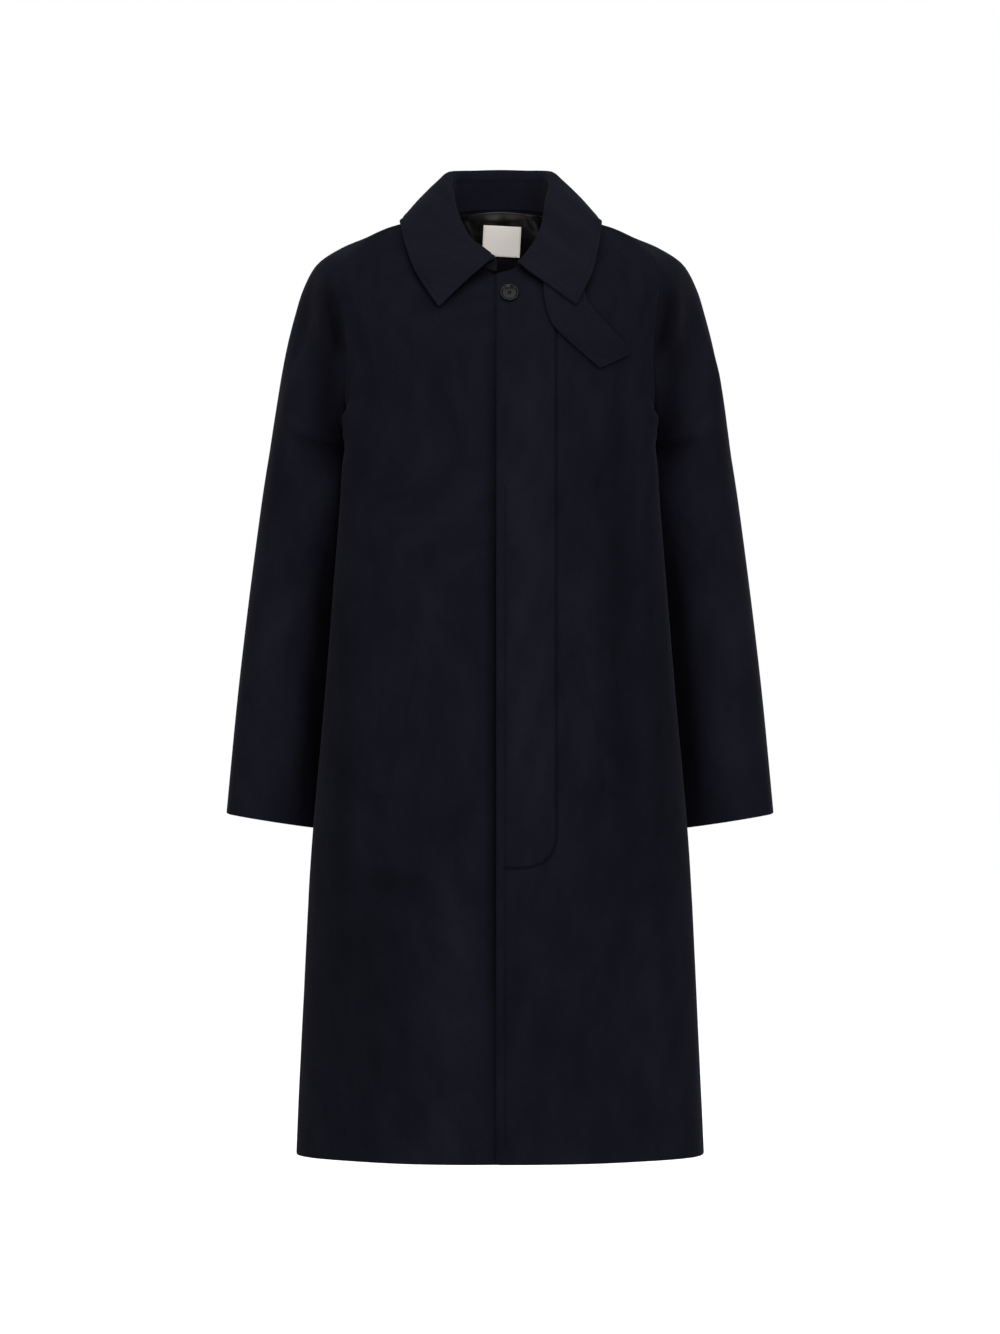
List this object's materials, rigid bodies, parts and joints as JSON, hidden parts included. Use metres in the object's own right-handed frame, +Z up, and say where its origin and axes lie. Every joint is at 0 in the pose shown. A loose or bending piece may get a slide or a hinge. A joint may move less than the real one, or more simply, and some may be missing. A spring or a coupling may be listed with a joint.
{
  "type": "balmacaan coat",
  "caption": "Knee-length raglan-sleeved coat with a turned-down collar, fly front, neck button and throat tab, filled out and hollow as if worn.",
  "frame": {"origin": "midway between the two side-neck points, on the shoulders, where a wearer carries the coat", "axes": "+Z up along the body, -Y the front, +X the wearer's left"},
  "size_m": [0.6578, 0.3301, 1.1852],
  "materials": {
    "melton": "matt fulled wool, navy black",
    "lining": "dark satin with a soft sheen",
    "label": "off-white woven cloth, bare",
    "button": "black, polished"
  },
  "bodies": {
    "root": {"front_left": "melton", "front_right": "melton", "back": "melton", "sleeve_left_front": "melton", "sleeve_left_back": "melton", "sleeve_right_front": "melton", "sleeve_right_back": "melton", "collar_stand": "melton", "collar_fall": "melton", "throat_tab": "melton", "pocket_welt_left": "melton", "pocket_welt_right": "melton", "back_neck_lining": "lining", "sleeve_left_lining": "lining", "sleeve_right_lining": "lining", "neck_label": "label", "neck_button": "button"}
  },
  "joints": []
}
